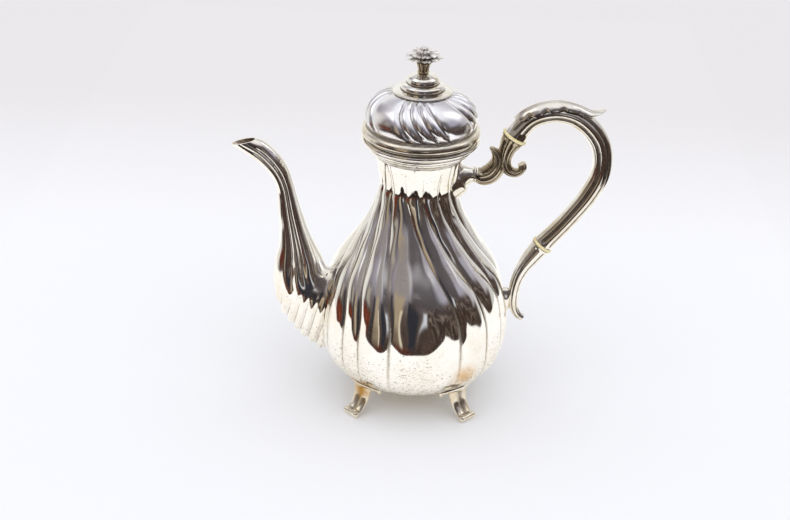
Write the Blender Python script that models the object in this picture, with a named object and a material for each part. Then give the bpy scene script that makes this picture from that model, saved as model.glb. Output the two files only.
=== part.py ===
"""Silver coffee pot with twisted flutes, a lift-off domed lid, a swan-neck spout and a scroll handle.

Frame: the pot's axis is Z and its feet stand on z = 0. The spout points to -X, the handle to +X.
Lengths in the tables are millimetres; MM turns them into metres. An angle around the axis is
measured from -Y towards +X, in degrees.
"""

import math

import bmesh
import bpy
from mathutils import Matrix, Vector

MM = 0.001
GAP = 0.3

# Body: the outer radius over the crests of the flutes at each height, and the wall.
BODY_PROFILE = [
    (16.0, 33.0), (24.0, 50.5), (38.0, 63.0), (55.0, 66.5), (75.0, 65.3),
    (100.0, 58.8), (125.0, 42.4), (145.0, 31.8), (163.0, 26.9), (184.8, 29.4),
]
BODY_LEVELS = [16, 20, 27, 37, 48, 60, 74, 89, 103, 115, 127, 139, 151, 163, 175, 184.8]
BODY_WALL = 1.0

# Flutes: evenly spaced round the neck, then turning and spreading into broad and narrow panels.
PANEL_WIDTHS = [45, 22, 20, 20, 45, 16, 16, 45, 16, 16, 45, 20, 13, 21]
BELLY_START = -14.0
NECK_START = -44.5
TWIST_TOP = 160.0
TWIST_HEIGHT = 88.0
FLUTE_DEPTH = [(16.0, 0.5), (26.0, 1.5), (60.0, 2.4), (110.0, 2.6), (150.0, 1.9), (176.0, 1.0), (184.8, 0.2)]
BROAD_PANEL = 30.0

# Lid: five broad panels with three narrow flutes between them.
LID_PROFILE = [
    (206.1, 36.3), (209.0, 37.3), (212.9, 37.7), (217.0, 36.8), (221.3, 34.0),
    (225.0, 29.5), (227.4, 24.5), (228.8, 19.8),
]
LID_WIDTHS = [34.5, 12.5, 11.0, 14.0] * 5
LID_START = -51.5
LID_TWIST_PER_MM = 1.0
LID_EQUATOR = 212.9
LID_WALL = 0.9
LID_FLUTE_DEPTH = 1.7
LID_HOLE = 2.0

# Turned pieces: closed outlines of (radius, height).
MOUTH_RIM = [
    (29.4, 185.1), (31.0, 186.4), (33.2, 188.2), (35.3, 190.3), (36.2, 192.6), (37.6, 194.2),
    (39.7, 195.4), (39.9, 197.3), (34.5, 197.3), (34.5, 191.6), (28.6, 185.1),
]
LID_RIM = [
    (37.6, 197.6), (37.6, 199.8), (39.9, 200.0), (39.8, 201.8), (38.9, 203.9), (37.2, 205.2),
    (36.4, 205.8), (34.5, 205.8), (34.5, 197.6),
]
LID_BEZEL = [(34.2, 192.2), (34.2, 205.4), (33.2, 205.4), (33.2, 192.2)]
LID_BOSS = [
    (19.7, 229.1), (19.8, 230.0), (15.2, 230.6), (14.6, 232.2), (12.2, 232.8), (11.0, 234.8),
    (10.4, 236.4), (9.3, 237.3), (9.2, 239.6), (7.4, 243.0), (3.6, 244.6), (1.9, 244.6), (1.9, 229.1),
]
BOTTOM_MOUTH = [(0, 10), (31.3, 10), (31.3, 17), (0, 17)]
BASE_PLATE = [(0.0, 17.4), (20.0, 16.4), (31.0, 15.4), (31.0, 16.4), (20.0, 17.4), (0.0, 18.4)]
STEM = [(0.0, 221.0), (1.5, 221.0), (1.5, 244.9), (3.2, 244.9), (3.5, 246.8), (4.6, 249.2), (0.0, 249.2)]
FLOWER = [
    (0.0, 249.5, 0, 0.0), (4.2, 249.5, 6, 0.3), (5.4, 250.8, 6, 0.8), (4.6, 252.2, 6, 0.3),
    (8.6, 253.4, 8, 1.0), (11.8, 255.2, 8, 1.6), (10.4, 256.4, 8, 1.6), (5.6, 256.6, 8, 0.6),
    (5.0, 258.2, 8, 0.5), (3.0, 259.5, 8, 0.3), (0.0, 260.0, 0, 0.0),
]
WASHER = [(5.2, 226.6), (5.2, 227.6), (1.9, 227.6), (1.9, 226.6)]
NUT = [(3.6, 223.4), (3.6, 226.3), (1.8, 226.3), (1.8, 223.4)]

# Spout: centre x and z, lean from upright towards -X, half depth in the XZ plane, half width in Y.
SPOUT = [
    (-50.0, 62.0, 90.0, 34.0, 19.0), (-60.0, 64.0, 82.0, 34.0, 18.5), (-70.0, 69.5, 62.0, 28.0, 17.0),
    (-77.3, 78.5, 42.0, 24.0, 15.5), (-80.8, 89.0, 22.0, 20.0, 14.0), (-82.0, 101.0, 9.0, 16.7, 12.3),
    (-83.4, 113.0, 7.0, 12.7, 10.4), (-85.4, 125.0, 8.0, 9.9, 8.7), (-87.6, 137.0, 9.0, 8.2, 7.4),
    (-89.4, 148.5, 9.0, 6.8, 6.6), (-91.2, 157.5, 18.0, 6.1, 6.2), (-94.6, 166.5, 33.0, 6.6, 6.2),
    (-100.3, 174.8, 45.0, 7.1, 6.4), (-108.3, 182.3, 43.0, 7.3, 6.4), (-118.9, 188.4, 14.0, 8.9, 5.2),
]
SPOUT_WALL = 1.1
SPOUT_SIDES = 20
STRAINER_HOLE = 1.3
STRAINER_PITCH = 4.6
STRAINER_ROWS = [50.0, 57.0, 64.0, 71.0, 78.0]
STRAINER_HEIGHTS = [42, 50, 57, 64, 71, 78, 86]
STRAINER_ANGLES = [-102, -96, -90, -84, -78]
STRAINER_INSET = 4.0
SPOUT_HOLE = ((-75.0, 0.0, 64.0), (-50.0, 0.0, 64.0), 10.0, 20.0)

# Handle: centre x and z, half depth in the XZ plane, half width in Y.
SOCKET = [
    (22.0, 166.5, 16.0, 13.0), (27.0, 168.0, 12.0, 10.0), (30.0, 169.4, 8.6, 7.6), (34.0, 170.3, 5.8, 5.4),
    (38.9, 170.6, 4.9, 4.8),
]
UPPER_SCROLL = [
    (39.2, 170.6, 5.2, 5.0), (44.5, 171.2, 6.8, 5.6), (49.3, 175.3, 7.2, 6.0), (53.8, 182.8, 7.3, 6.4),
    (57.8, 190.5, 7.3, 6.8), (61.97, 198.25, 8.2, 7.5),
]
SCROLL_CURL = [
    (58.0, 180.5, 3.8, 4.0), (61.5, 176.4, 3.0, 3.8), (65.6, 175.2, 2.5, 3.6), (69.0, 176.8, 2.4, 3.4),
    (70.0, 179.6, 2.6, 3.2),
]
SCROLL_BUD = [(53.5, 181.0, 4.6, 4.4), (50.0, 187.4, 3.2, 3.6), (47.8, 191.6, 0.9, 1.2)]
GRIP = [
    (63.43, 200.75, 8.0, 7.4), (66.7, 206.0, 7.2, 6.8), (72.5, 212.2, 6.8, 6.4), (80.5, 216.2, 6.7, 6.3),
    (90.3, 217.8, 6.8, 6.3), (99.8, 216.2, 6.8, 6.3), (108.0, 211.8, 6.8, 6.3), (115.5, 204.4, 6.8, 6.3),
    (120.6, 195.5, 6.7, 6.2), (122.7, 184.5, 6.7, 6.2), (121.3, 172.0, 6.7, 6.2), (115.3, 158.5, 6.6, 6.1),
    (106.5, 145.0, 6.3, 6.0), (97.2, 132.5, 6.3, 6.0), (91.0, 125.0, 6.7, 6.2), (88.06, 121.27, 7.2, 6.6),
]
LOWER_SCROLL = [
    (86.34, 118.93, 7.2, 6.6), (84.2, 115.9, 6.9, 6.3), (80.2, 110.0, 6.3, 5.8), (75.6, 102.5, 5.2, 5.2),
    (72.2, 94.0, 4.4, 4.6), (70.5, 86.0, 3.9, 4.2), (70.0, 78.0, 3.6, 3.9), (70.8, 70.5, 3.3, 3.6),
    (73.6, 64.6, 2.9, 3.2), (77.4, 61.8, 2.5, 2.8),
]
HANDLE_SIDES = 12
LEAF_STATIONS = [2.5, 3.0, 4.0, 5.0, 5.6, 6.0, 6.3]
LEAF_LIFT = [0.6, 0.6, 0.6, 0.6, 1.0, 2.4, 6.6]
LEAF_HALF_ANGLE = [18, 45, 60, 60, 48, 34, 10]
LEAF_THICKNESS = 1.3
PLATE_CENTRE = (76.0, 67.6)
PLATE_HALF = (5.2, 11.0)

# Insulating rings: centre, axis direction in the XZ plane, half depth and half width.
UPPER_RING = ((62.70, 199.50), (0.505, 0.863), 8.9, 8.2)
LOWER_RING = ((87.20, 120.10), (0.589, 0.808), 7.7, 7.2)
RING_THICKNESS = 2.3
TANG_RADIUS = 2.9
TANG_REACH = 6.6
PIN_RADIUS = 0.8
PIN_OFFSET = 4.0

# Feet: the leg's centre line in the radial plane, with half thickness and half width.
LEG = [
    (46.5, 27.0, 3.4, 7.4), (47.2, 20.0, 3.3, 7.1), (48.0, 14.0, 2.9, 6.3), (50.6, 8.4, 2.6, 5.6),
    (54.4, 4.2, 2.7, 5.6), (58.2, 2.7, 2.7, 5.8),
]
LEG_SIDES = 10
WING_SPAN = 17.5
WING_PROUD = 1.9
WING_RADIUS = 48.0
PAD_RADIUS = 56.6
FOOT_PAD = 2.6
FOOT_ANGLES = {
    "foot_front_left": -45.0, "foot_front_right": 45.0, "foot_rear_right": 135.0, "foot_rear_left": 225.0,
}


def clear_scene():
    for old in list(bpy.data.objects):
        bpy.data.objects.remove(old, do_unlink=True)


def principled(name, colour, roughness, metallic):
    material = bpy.data.materials.new(name)
    material.use_nodes = True
    shader = material.node_tree.nodes["Principled BSDF"]
    shader.inputs["Base Color"].default_value = (*colour, 1.0)
    shader.inputs["Roughness"].default_value = roughness
    shader.inputs["Metallic"].default_value = metallic
    return material


def interpolate(table, position):
    """Smooth curve through the rows of a table, whose first column rises; returns the other columns."""
    last = len(table) - 1
    k = next((i for i in range(last) if position <= table[i + 1][0]), last - 1)
    here, there = table[k], table[k + 1]
    before, after = table[max(k - 1, 0)], table[min(k + 2, last)]
    step = there[0] - here[0]
    t = (position - here[0]) / step
    values = []
    for c in range(1, len(here)):
        start_slope = (there[c] - before[c]) / (there[0] - before[0]) * step
        end_slope = (after[c] - here[c]) / (after[0] - here[0]) * step
        values.append(
            (2 * t**3 - 3 * t**2 + 1) * here[c]
            + (t**3 - 2 * t**2 + t) * start_slope
            + (3 * t**2 - 2 * t**3) * there[c]
            + (t**3 - t**2) * end_slope
        )
    return values


def numbered(rows):
    """The same rows with their own index as a first column, for a curve that runs row by row."""
    return [(i, *row) for i, row in enumerate(rows)]


def around(angle, radius, height):
    """A point on the pot, in millimetres, from its angle, radius and height."""
    turn = math.radians(angle)
    return Vector((radius * math.sin(turn), -radius * math.cos(turn), height))


def add_object(name, mesh_data, material, location=(0, 0, 0), sharp=35):
    """Closes a bmesh in millimetres into a named object with its faces pointing out."""
    bmesh.ops.recalc_face_normals(mesh_data, faces=mesh_data.faces)
    if mesh_data.calc_volume(signed=True) < 0:
        bmesh.ops.reverse_faces(mesh_data, faces=mesh_data.faces)
    bmesh.ops.scale(mesh_data, vec=(MM, MM, MM), verts=mesh_data.verts)
    mesh = bpy.data.meshes.new(name)
    mesh_data.to_mesh(mesh)
    mesh_data.free()
    mesh.shade_smooth()
    mesh.set_sharp_from_angle(angle=math.radians(sharp))
    mesh.materials.append(material)
    piece = bpy.data.objects.new(name, mesh)
    piece.location = Vector(location) * MM
    bpy.context.collection.objects.link(piece)
    return piece


def skin(loops, ring=False):
    """A bmesh through loops of points: capped at both ends, or joined last to first as a ring."""
    data = bmesh.new()
    rows = [[data.verts.new(p) for p in loop] for loop in loops]
    count = len(rows[0])
    pairs = list(zip(rows, rows[1:]))
    if ring:
        pairs.append((rows[-1], rows[0]))
    for low, high in pairs:
        for i in range(count):
            j = (i + 1) % count
            data.faces.new((low[i], low[j], high[j], high[i]))
    if not ring:
        data.faces.new(rows[0])
        data.faces.new(rows[-1])
    return data


def turned(outline, segments):
    """A turned solid from a closed outline of (radius, height), with or without points on the axis."""
    on_axis = outline[0][0] == 0.0
    body = outline[1:-1] if on_axis else outline
    loops = [[around(360 * i / segments, r, z) for i in range(segments)] for r, z in body]
    if not on_axis:
        return skin(loops, ring=True)
    data = skin(loops)
    for r, z in (outline[0], outline[-1]):
        crown_face(data, loops[0] if (r, z) == outline[0] else loops[-1], Vector((0, 0, z)))
    return data


def crown_face(data, loop, point):
    """Replaces the cap on a loop by a fan to a point on the axis."""
    middle = sum(loop, Vector()) / len(loop)
    caps = [face for face in data.faces if len(face.verts) == len(loop)]
    cap = min(caps, key=lambda face: (face.calc_center_median() - middle).length)
    bmesh.ops.poke(data, faces=[cap])
    centre = min(data.verts, key=lambda v: (v.co - middle).length)
    centre.co = point


def cut(piece, cutter, operation="DIFFERENCE"):
    modifier = piece.modifiers.new(cutter.name, "BOOLEAN")
    modifier.operation = operation
    modifier.solver = "EXACT"
    modifier.object = cutter


def guide(piece):
    piece.hide_render = True
    piece.display_type = "WIRE"
    return piece


def body_radius(height):
    return interpolate(BODY_PROFILE, height)[0]


def panel_edges(widths, start):
    edges = [start]
    for width in widths:
        edges.append(edges[-1] + width)
    return edges


def columns(widths, broad_steps, narrow_steps):
    """Where the mesh columns fall: the panel's number and the share of its width."""
    places = []
    for number, width in enumerate(widths):
        steps = broad_steps if width > BROAD_PANEL else narrow_steps
        places += [(number, k / steps) for k in range(steps)]
    return places


def hollow(share):
    """How far below the crest a flute lies across its width: 1 at its edges, 0 along its middle."""
    return abs(2 * share - 1) ** 2.6


def body_loop(height, inset):
    """One fluted ring of the body, moved in from the outer surface by inset."""
    belly = panel_edges(PANEL_WIDTHS, BELLY_START)
    count = len(PANEL_WIDTHS)
    neck = [NECK_START + 360 * i / count for i in range(count + 1)]
    turn = math.sin(math.pi / 2 * min(max((TWIST_TOP - height) / TWIST_HEIGHT, 0), 1))
    edges = [n + (b - n) * turn for n, b in zip(neck, belly)]
    radius = body_radius(height)
    depth = interpolate(FLUTE_DEPTH, height)[0]
    loop = []
    for number, share in columns(PANEL_WIDTHS, 6, 3):
        angle = edges[number] + (edges[number + 1] - edges[number]) * share
        loop.append(around(angle, radius - depth * hollow(share) - inset, height))
    return loop


def make_body_cutter():
    """The body's outer shape as a solid, a gap larger, which trims what is soldered to it."""
    return guide(add_object("body_space", skin([body_loop(z, -GAP) for z in BODY_LEVELS]), SILVER))


def make_body():
    outer = [body_loop(z, 0.0) for z in BODY_LEVELS]
    inner = [body_loop(z, BODY_WALL) for z in reversed(BODY_LEVELS)]
    body = add_object("pot_body", skin(outer + inner, ring=True), SILVER)
    cut(body, guide(add_object("spout_hole", oval_bar(*SPOUT_HOLE, 16), SILVER)))
    cut(body, guide(add_object("bottom_mouth", turned(BOTTOM_MOUTH, 48), SILVER)))
    add_object("base_plate", turned(BASE_PLATE, 36), SILVER)
    add_object("mouth_rim", turned(MOUTH_RIM, 36), SILVER)


def oval(centre, out, half_depth, half_width, sides):
    """A loop round a centre: half_depth along out, half_width along Y."""
    turns = [2 * math.pi * i / sides for i in range(sides)]
    side = Vector((0, half_width, 0))
    return [centre + out * half_depth * math.cos(t) + side * math.sin(t) for t in turns]


def oval_bar(start, end, half_width, half_height, sides):
    """A straight bar with an oval section between two points in the XZ plane."""
    start, end = Vector(start), Vector(end)
    up = (end - start).normalized().cross(Vector((0, 1, 0)))
    return skin([oval(centre, up, half_height, half_width, sides) for centre in (start, end)])


def spout_loop(row, inset):
    x, z, lean, half_depth, half_width = row
    turn = math.radians(lean)
    rear = Vector((math.cos(turn), 0, math.sin(turn)))
    loop = []
    for i in range(SPOUT_SIDES):
        t = 2 * math.pi * i / SPOUT_SIDES
        across = rear * (half_depth - inset) * math.cos(t)
        loop.append(Vector((x, 0, z)) + across + Vector((0, (half_width - inset) * math.sin(t), 0)))
    return loop


def make_spout(body_space):
    outer = [spout_loop(row, 0.0) for row in SPOUT]
    inner = [spout_loop(row, SPOUT_WALL) for row in reversed(SPOUT)]
    spout = add_object("spout", skin(outer + inner, ring=True), SILVER)
    cut(spout, body_space)
    make_strainer()


def make_strainer():
    """A pierced plate that follows the inside of the wall behind the spout's hole."""
    layers = []
    for inset in (STRAINER_INSET, STRAINER_INSET + 1.0):
        layers.append(
            [[around(a, body_radius(z) - inset, z) for a in STRAINER_ANGLES] for z in STRAINER_HEIGHTS]
        )
    data = bmesh.new()
    grids = [[[data.verts.new(p) for p in row] for row in layer] for layer in layers]
    rows, cells = len(STRAINER_HEIGHTS), len(STRAINER_ANGLES)
    for grid in grids:
        for j in range(rows - 1):
            for i in range(cells - 1):
                data.faces.new((grid[j][i], grid[j][i + 1], grid[j + 1][i + 1], grid[j + 1][i]))
    edge = [(0, i) for i in range(cells)] + [(j, cells - 1) for j in range(1, rows)]
    edge += [(rows - 1, i) for i in range(cells - 2, -1, -1)] + [(j, 0) for j in range(rows - 2, 0, -1)]
    for (j, i), (q, p) in zip(edge, edge[1:] + edge[:1]):
        data.faces.new((grids[0][j][i], grids[0][q][p], grids[1][q][p], grids[1][j][i]))
    strainer = add_object("spout_strainer", data, SILVER)
    holes = bmesh.new()
    for row, height in enumerate(STRAINER_ROWS):
        offset = STRAINER_PITCH * (0.25 if row % 2 else -0.25)
        for place in (-STRAINER_PITCH, 0.0, STRAINER_PITCH):
            bar = bmesh.ops.create_cone(
                holes, cap_ends=True, segments=6, radius1=STRAINER_HOLE, radius2=STRAINER_HOLE, depth=20.0
            )
            spot = Matrix.Translation((-61.0, place + offset, height)) @ Matrix.Rotation(math.pi / 2, 4, "Y")
            bmesh.ops.transform(holes, matrix=spot, verts=bar["verts"])
    cut(strainer, guide(add_object("strainer_holes", holes, SILVER)))


def sweep(rows, sides, steps=1):
    """Loops along a smooth line in the XZ plane, each with an oval section square to the line."""
    table = numbered(rows)
    last = len(rows) - 1
    loops = []
    for n in range(last * steps + 1):
        place = n / steps
        x, z, half_depth, half_width = interpolate(table, place)
        ahead = interpolate(table, min(place + 0.05, last))
        behind = interpolate(table, max(place - 0.05, 0))
        along = Vector((ahead[0] - behind[0], 0, ahead[1] - behind[1])).normalized()
        out = Vector((-along.z, 0, along.x))
        loops.append(oval(Vector((x, 0, z)), out, half_depth, half_width, sides))
    return loops


def square_end(loops, index, ring, side):
    """Puts an end loop exactly on the plane of its insulating ring, a gap away from it."""
    centre, axis = Vector((ring[0][0], 0, ring[0][1])), Vector((ring[1][0], 0, ring[1][1]))
    plane = centre + axis * side * (RING_THICKNESS / 2 + GAP)
    loops[index] = [p - axis * (p - plane).dot(axis) for p in loops[index]]


def make_ring(name, ring):
    """An insulating disc with a tang on each side, which the pins hold."""
    centre, axis = Vector((ring[0][0], 0, ring[0][1])), Vector((ring[1][0], 0, ring[1][1]))
    half = RING_THICKNESS / 2
    out = Vector((-axis.z, 0, axis.x))
    stations = [(-TANG_REACH, 0), (-half, 0), (-half, 1), (half, 1), (half, 0), (TANG_REACH, 0)]
    loops = []
    for along, is_disc in stations:
        depth, width = (ring[2], ring[3]) if is_disc else (TANG_RADIUS, TANG_RADIUS)
        loops.append(oval(centre + axis * along, out, depth, width, 16))
    return add_object(name, skin(loops), IVORY)


def bar_along(start, end, radius, sides):
    data = bmesh.new()
    start, end = Vector(start), Vector(end)
    span = end - start
    bmesh.ops.create_cone(
        data, cap_ends=True, segments=sides, radius1=radius, radius2=radius, depth=span.length
    )
    turn = Vector((0, 0, 1)).rotation_difference(span.normalized()).to_matrix().to_4x4()
    bmesh.ops.transform(data, matrix=Matrix.Translation((start + end) / 2) @ turn, verts=data.verts)
    return data


def make_joint(prefix, ring, before, after, insulator):
    """Sockets for the insulator's tangs in the two metal pieces, and the cross pins that hold them."""
    centre, axis = Vector((ring[0][0], 0, ring[0][1])), Vector((ring[1][0], 0, ring[1][1]))
    reach = axis * (TANG_REACH + 0.6)
    socket = bar_along(centre - reach, centre + reach, TANG_RADIUS + GAP, 16)
    socket = guide(add_object(prefix + "_socket", socket, SILVER))
    for metal, name, side in ((before, "lower_pin", -1), (after, "upper_pin", 1)):
        spot = centre + axis * side * PIN_OFFSET
        half = Vector((0, ring[3] - 1.3, 0))
        add_object(prefix + "_" + name, bar_along(spot - half, spot + half, PIN_RADIUS, 10), SILVER)
        far = Vector((0, 12, 0))
        hole = bar_along(spot - far, spot + far, PIN_RADIUS + GAP, 10)
        hole = guide(add_object(prefix + "_" + name + "_hole", hole, SILVER))
        cut(metal, socket)
        cut(metal, hole)
        cut(insulator, hole)


def make_handle(body_space):
    socket = add_object("upper_handle_socket", skin(sweep(SOCKET, 16)), SILVER)
    cut(socket, body_space)
    loops = sweep(UPPER_SCROLL, HANDLE_SIDES)
    square_end(loops, -1, UPPER_RING, -1)
    loops[0] = [Vector((UPPER_SCROLL[0][0], p.y, p.z)) for p in loops[0]]
    upper_scroll = add_object("upper_handle_scroll", skin(loops), SILVER)
    for name, rows in (("scroll_curl", SCROLL_CURL), ("scroll_bud", SCROLL_BUD)):
        cut(upper_scroll, guide(add_object(name, skin(sweep(rows, 8)), SILVER)), "UNION")
    loops = sweep(GRIP, HANDLE_SIDES)
    square_end(loops, 0, UPPER_RING, 1)
    square_end(loops, -1, LOWER_RING, 1)
    grip = add_object("handle_grip", skin(loops), SILVER)
    loops = sweep(LOWER_SCROLL, HANDLE_SIDES)
    square_end(loops, 0, LOWER_RING, -1)
    lower_scroll = add_object("lower_handle_scroll", skin(loops), SILVER)
    make_plate(body_space, lower_scroll)
    upper_ring = make_ring("upper_insulator", UPPER_RING)
    lower_ring = make_ring("lower_insulator", LOWER_RING)
    make_joint("upper_ring", UPPER_RING, upper_scroll, grip, upper_ring)
    make_joint("lower_ring", LOWER_RING, lower_scroll, grip, lower_ring)
    make_leaf()


def make_plate(body_space, lower_scroll):
    """An oval plate soldered to the belly, which the lower scroll is seated on."""
    height, face = PLATE_CENTRE
    half_width, half_height = PLATE_HALF
    shape = oval_bar((55.0, 0, height), (face, 0, height), half_width, half_height, 16)
    cut(add_object("lower_handle_plate", shape, SILVER), body_space)
    seat = oval_bar((50.0, 0, height), (face + GAP, 0, height), half_width + 2.0, half_height + 2.0, 16)
    cut(lower_scroll, guide(add_object("plate_seat", seat, SILVER)))


def make_leaf():
    """A leaf laid over the top of the grip, with its tip lifted as a thumb rest."""
    table = numbered(GRIP)
    loops = []
    for place, lift, half_angle in zip(LEAF_STATIONS, LEAF_LIFT, LEAF_HALF_ANGLE):
        x, z, half_depth, half_width = interpolate(table, place)
        ahead, behind = interpolate(table, place + 0.05), interpolate(table, place - 0.05)
        along = Vector((ahead[0] - behind[0], 0, ahead[1] - behind[1])).normalized()
        out = Vector((-along.z, 0, along.x))
        spread = [math.radians(half_angle) * s for s in (-1, -0.5, 0, 0.5, 1)]
        arc = []
        for offset, order in ((lift + LEAF_THICKNESS, spread), (lift, spread[::-1])):
            for t in order:
                rise = out * (half_depth + offset) * math.cos(t)
                arc.append(Vector((x, 0, z)) + rise + Vector((0, (half_width + offset) * math.sin(t), 0)))
        loops.append(arc)
    add_object("handle_leaf", skin(loops), SILVER)


def belly_height(radius):
    """The height at which the underside of the belly has this radius."""
    low, high = 16.0, 55.0
    for _ in range(30):
        middle = (low + high) / 2
        low, high = (middle, high) if body_radius(middle) < radius else (low, middle)
    return low


def make_foot(name, angle, body_space):
    """A scroll leg with a winged leaf soldered under the belly; it stands on a flat pad."""
    leg = skin(sweep(LEG, LEG_SIDES))
    for vertex in leg.verts:
        vertex.co.z = max(vertex.co.z, 0.0)
    pad = turned([(0, 0), (FOOT_PAD, 0), (FOOT_PAD, 2.0), (0, 2.0)], 10)
    bmesh.ops.translate(pad, vec=(PAD_RADIUS, 0, 0), verts=pad.verts)
    turn = Matrix.Rotation(math.radians(angle - 90), 4, "Z")
    bmesh.ops.transform(leg, matrix=turn, verts=leg.verts)
    bmesh.ops.transform(pad, matrix=turn, verts=pad.verts)
    foot = add_object(name, leg, SILVER)
    cut(foot, guide(add_object(name + "_pad", pad, SILVER)), "UNION")
    cut(foot, guide(add_object(name + "_wings", leaf_mount(angle), SILVER)), "UNION")
    cut(foot, body_space)


def leaf_mount(angle):
    """The foot's winged leaf: a strip that lies along the belly, widest over the leg."""
    loops = []
    for share in (-1, -0.7, -0.35, 0, 0.35, 0.7, 1):
        reach = 1.5 + 4.7 * (1 - abs(share)) ** 1.3
        offset = math.degrees(WING_SPAN * share / WING_RADIUS)
        section = []
        for side, proud in ((-1.0, 0.4), (1.0, 0.4), (0.8, WING_PROUD), (-0.8, WING_PROUD)):
            radius = WING_RADIUS + reach * side
            height = belly_height(radius)
            slope = Vector((radius - body_radius(height - 1), 0, 1)).normalized()
            point = Vector((radius + proud * slope.z, 0, height - proud * slope.x))
            section.append(around(angle + offset, point.x, point.z))
        loops.append(section)
    return skin(loops)


def make_lid():
    edges = panel_edges(LID_WIDTHS, LID_START)
    loops = []
    levels = [height for height, _ in LID_PROFILE]
    for inset, order in ((0.0, levels), (LID_WALL, levels[::-1])):
        for height in order:
            radius = interpolate(LID_PROFILE, height)[0]
            rise = (height - levels[0]) / (levels[-1] - levels[0])
            depth = LID_FLUTE_DEPTH * math.sin(math.pi * min(rise * 1.15 + 0.12, 1.0))
            loop = []
            for number, share in columns(LID_WIDTHS, 4, 2):
                angle = edges[number] + (edges[number + 1] - edges[number]) * share
                angle -= (height - LID_EQUATOR) * LID_TWIST_PER_MM
                sink = inset * (0.25 if height > 225 else 0.0)
                loop.append(around(angle, radius - depth * hollow(share) - inset, height - sink))
            loops.append(loop)
        if inset == 0.0:
            turns = [360 * i / len(loops[0]) + edges[0] for i in range(len(loops[0]))]
            for height in (levels[-1], levels[-1] - LID_WALL):
                loops.append([around(turn, LID_HOLE, height) for turn in turns])
    parts = [add_object("lid_dome", skin(loops, ring=True), SILVER)]
    parts.append(add_object("lid_rim", turned(LID_RIM, 36), SILVER))
    parts.append(add_object("lid_bezel", turned(LID_BEZEL, 36), SILVER))
    parts.append(add_object("lid_boss", turned(LID_BOSS, 24), SILVER))
    parts.append(add_object("finial_stem", turned(STEM, 12), SILVER))
    parts.append(add_object("finial_flower", flower(24), SILVER))
    parts.append(add_object("finial_washer", turned(WASHER, 16), SILVER))
    parts.append(add_object("finial_nut", turned(NUT, 6), SILVER))
    lift = bpy.data.objects.new("lid_lift", None)
    bpy.context.collection.objects.link(lift)
    for piece in parts:
        piece.parent = lift


def flower(segments):
    """Two rows of petals round a button, from rings whose radius rises and falls round the turn."""
    loops = []
    for radius, height, petals, swell in FLOWER[1:-1]:
        loop = []
        for turn in (360 * i / segments for i in range(segments)):
            notch = swell * (1 - math.cos(math.radians(petals * turn))) / 2
            loop.append(around(turn, radius - notch, height))
        loops.append(loop)
    data = skin(loops)
    crown_face(data, loops[0], Vector((0, 0, FLOWER[0][1])))
    crown_face(data, loops[-1], Vector((0, 0, FLOWER[-1][1])))
    return data


clear_scene()
SILVER = principled("silver", (0.80, 0.78, 0.74), 0.15, 1.0)
IVORY = principled("ivory", (0.86, 0.80, 0.58), 0.45, 0.0)
space = make_body_cutter()
make_body()
make_spout(space)
make_handle(space)
for foot_name, foot_angle in FOOT_ANGLES.items():
    make_foot(foot_name, foot_angle, space)
make_lid()
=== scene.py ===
import math

import bmesh
import bpy
import numpy as np
from mathutils import Matrix, Vector


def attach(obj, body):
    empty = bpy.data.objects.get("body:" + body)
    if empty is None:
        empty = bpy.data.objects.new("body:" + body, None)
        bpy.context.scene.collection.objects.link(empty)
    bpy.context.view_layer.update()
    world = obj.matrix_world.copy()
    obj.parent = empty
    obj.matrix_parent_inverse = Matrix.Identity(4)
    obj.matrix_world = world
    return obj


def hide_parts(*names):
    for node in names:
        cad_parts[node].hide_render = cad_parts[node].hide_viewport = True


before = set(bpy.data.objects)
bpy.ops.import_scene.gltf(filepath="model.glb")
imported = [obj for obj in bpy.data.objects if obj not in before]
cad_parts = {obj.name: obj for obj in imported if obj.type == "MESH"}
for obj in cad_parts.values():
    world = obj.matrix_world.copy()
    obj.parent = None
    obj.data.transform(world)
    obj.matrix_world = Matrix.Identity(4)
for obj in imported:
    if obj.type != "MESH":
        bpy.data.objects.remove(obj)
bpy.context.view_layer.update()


# ---- Body -------------------------------------------------------------------------------------
# A pear-shaped pot raised from one sheet of silver and chased with fourteen flutes, which stand
# upright on the neck, turn across the shoulder and spread into broad and narrow lobes below.
# The sheet is about a millimetre thick, polished outside and scoured by washing inside.

MM = 0.001
BODY_FOOT, BODY_TOP = 16.0, 184.8
BODY_PROFILE = [
    (BODY_FOOT, 33.0), (24.0, 50.5), (38.0, 63.0), (55.0, 66.5), (75.0, 65.3), (100.0, 58.8),
    (125.0, 42.4), (145.0, 31.8), (162.0, 27.0), (168.0, 27.2), (176.0, 28.6), (BODY_TOP, 30.4),
]
PANEL_WIDTHS = [45, 22, 20, 20, 45, 16, 16, 45, 16, 16, 45, 20, 13, 21]
BELLY_START = -14.0
NECK_START = -44.5
TWIST_TOP = 160.0
TWIST_HEIGHT = 88.0
FLUTE_DEPTH = [
    (BODY_FOOT, 0.3), (26.0, 0.9), (45.0, 1.6), (66.0, 2.3),
    (110.0, 2.6), (150.0, 1.9), (176.0, 1.0), (BODY_TOP, 0.2),
]
HAMMERED = [(13, 8.0, 0.12), (22, -6.5, 0.08), (31, 11.0, 0.05)]
BODY_SKIN = 0.32
BODY_WALL = 1.0


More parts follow.
